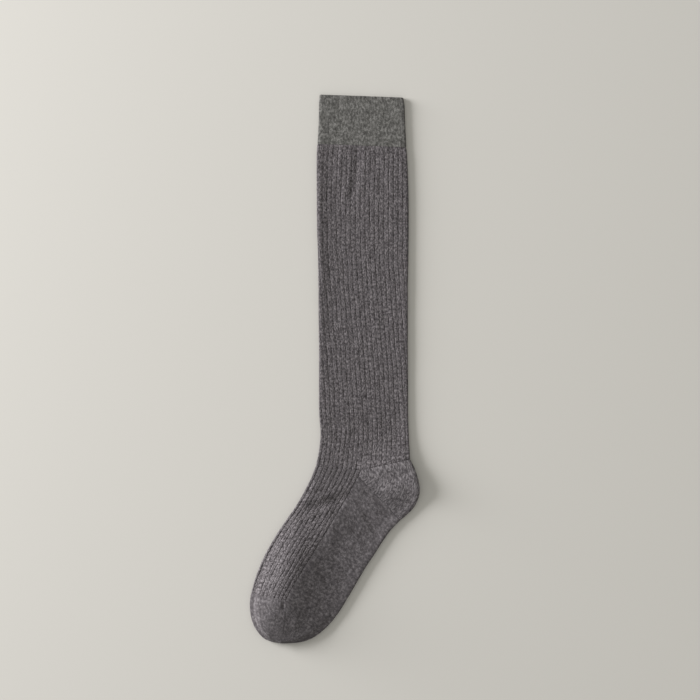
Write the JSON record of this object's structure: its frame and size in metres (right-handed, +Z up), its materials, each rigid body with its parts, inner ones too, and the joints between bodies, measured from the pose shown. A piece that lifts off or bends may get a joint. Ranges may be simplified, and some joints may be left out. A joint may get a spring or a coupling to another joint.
{
  "type": "knee-high sock",
  "caption": "Long ribbed knit sock with a plain double cuff, a plain heel, sole and toe, lying flat on its side with its mouth open.",
  "frame": {"origin": "on the table under the middle of the sock's bounding box", "axes": "+Y along the leg towards the open cuff, +X towards the heel side, +Z up from the table"},
  "size_m": [0.17, 0.5488, 0.0121],
  "materials": {
    "welt_knit": "matt heather grey double welt, plain knit with a slightly fuzzy face",
    "rib_knit": "matt heather grey rib knit, three raised wales to one sunken wale",
    "plain_knit": "matt heather grey plain knit"
  },
  "bodies": {
    "root": {"cuff": "welt_knit", "leg": "rib_knit", "heel": "plain_knit", "instep": "rib_knit", "sole": "plain_knit", "toe": "plain_knit"}
  },
  "joints": []
}
